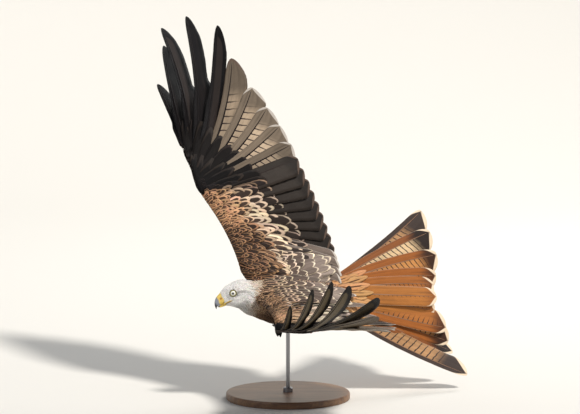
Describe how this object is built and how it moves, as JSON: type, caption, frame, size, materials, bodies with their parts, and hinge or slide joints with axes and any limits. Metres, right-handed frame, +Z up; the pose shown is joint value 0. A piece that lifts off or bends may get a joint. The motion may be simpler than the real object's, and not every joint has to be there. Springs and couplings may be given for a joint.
{
  "type": "red kite figure",
  "caption": "Life-size red kite, a fork-tailed bird of prey, banking in a glide with spread wings, held on a plain round base by a short rod.",
  "frame": {"origin": "centre of the stand's underside, on the floor", "axes": "+Z up; the bird's bill points mostly toward -X and turned 22 degrees toward -Y, its back faces up and toward -Y, its right wing is raised toward +Y and up"},
  "size_m": [0.7123, 1.1334, 0.8323],
  "materials": {
    "brown_feathers": "dark brown contour feathers with tawny edges on the back and the inner wings",
    "black_feathers": "blackish primaries with a slight sheen",
    "rufous_feathers": "rufous-orange tail and thigh feathers",
    "head_feathers": "pale grey feathers with fine dark streaks",
    "bill_horn": "horn, yellow at the cere and black at the tip",
    "claw_horn": "black polished horn",
    "iris": "glossy pale yellow eye with a black pupil",
    "foot_skin": "yellow scaled skin",
    "stand_wood": "satin turned wood",
    "stand_steel": "brushed steel rod with a turned collar"
  },
  "bodies": {
    "root": {"bill_lower": "bill_horn", "bill_upper": "bill_horn", "claw_left_hind": "claw_horn", "claw_left_inner": "claw_horn", "claw_left_middle": "claw_horn", "claw_left_outer": "claw_horn", "claw_right_hind": "claw_horn", "claw_right_inner": "claw_horn", "claw_right_middle": "claw_horn", "claw_right_outer": "claw_horn", "eye_left": "iris", "eye_right": "iris", "foot_left": "foot_skin", "foot_right": "foot_skin", "head": "head_feathers", "leg_left": "rufous_feathers", "leg_right": "rufous_feathers", "neck": "head_feathers", "stand_base": "stand_wood", "stand_rod": "stand_steel", "tail": "rufous_feathers", "trunk": "brown_feathers", "wing_left_arm": "brown_feathers", "wing_left_hand": "black_feathers", "wing_right_arm": "brown_feathers", "wing_right_hand": "black_feathers"}
  },
  "joints": []
}
